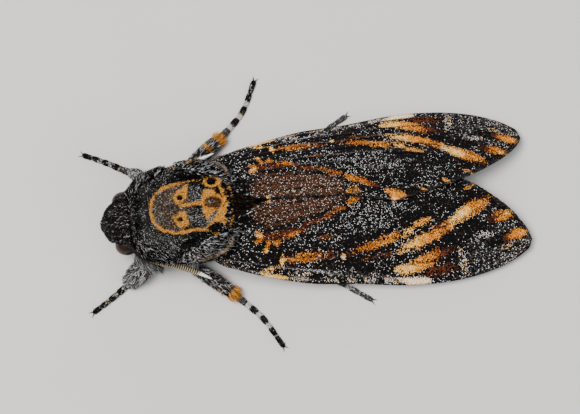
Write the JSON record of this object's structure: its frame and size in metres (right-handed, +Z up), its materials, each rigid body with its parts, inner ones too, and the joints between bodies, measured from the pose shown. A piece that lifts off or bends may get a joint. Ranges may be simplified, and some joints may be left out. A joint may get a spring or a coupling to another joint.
{
  "type": "death's head hawkmoth display model",
  "caption": "Still life-size hawkmoth resting on its feet: stout furry body with a skull mark, ringed feelers, and veined wings closed like a roof.",
  "frame": {"origin": "on the floor, under the middle of the whole model", "axes": "+X towards the wing tips and tail, +Y to the moth's right, +Z up"},
  "size_m": [0.0848, 0.0534, 0.0165],
  "materials": {
    "dark_fur": "dense black velvet fur with grey tips and an ochre skull mark",
    "head_fur": "short dark brown and black fur",
    "tongue": "smooth dark brown horn",
    "eye": "glossy dark brown facets",
    "feeler": "black with pale comb rings and white tips",
    "abdomen_fur": "short ochre fur with dark bands and a slate-blue stripe",
    "fore_wing": "black scales powdered with grey, and cream, orange and maroon bands",
    "hind_wing": "ochre scales with two dark bands",
    "leg": "black and grey scales with pale rings"
  },
  "bodies": {
    "root": {"thorax": "dark_fur", "tegula_left": "dark_fur", "tegula_right": "dark_fur", "head": "head_fur", "palp_left": "head_fur", "palp_right": "head_fur", "proboscis": "tongue", "eye_left": "eye", "eye_right": "eye", "antenna_left": "feeler", "antenna_right": "feeler", "abdomen": "abdomen_fur", "forewing_left": "fore_wing", "forewing_right": "fore_wing", "hindwing_left": "hind_wing", "hindwing_right": "hind_wing", "leg_front_left_femur": "leg", "leg_front_left_tibia": "leg", "leg_front_left_tarsus": "leg", "leg_front_right_femur": "leg", "leg_front_right_tibia": "leg", "leg_front_right_tarsus": "leg", "leg_middle_left_femur": "leg", "leg_middle_left_tibia": "leg", "leg_middle_left_tarsus": "leg", "leg_middle_right_femur": "leg", "leg_middle_right_tibia": "leg", "leg_middle_right_tarsus": "leg", "leg_hind_left_femur": "leg", "leg_hind_left_tibia": "leg", "leg_hind_left_tarsus": "leg", "leg_hind_right_femur": "leg", "leg_hind_right_tibia": "leg", "leg_hind_right_tarsus": "leg"}
  },
  "joints": []
}
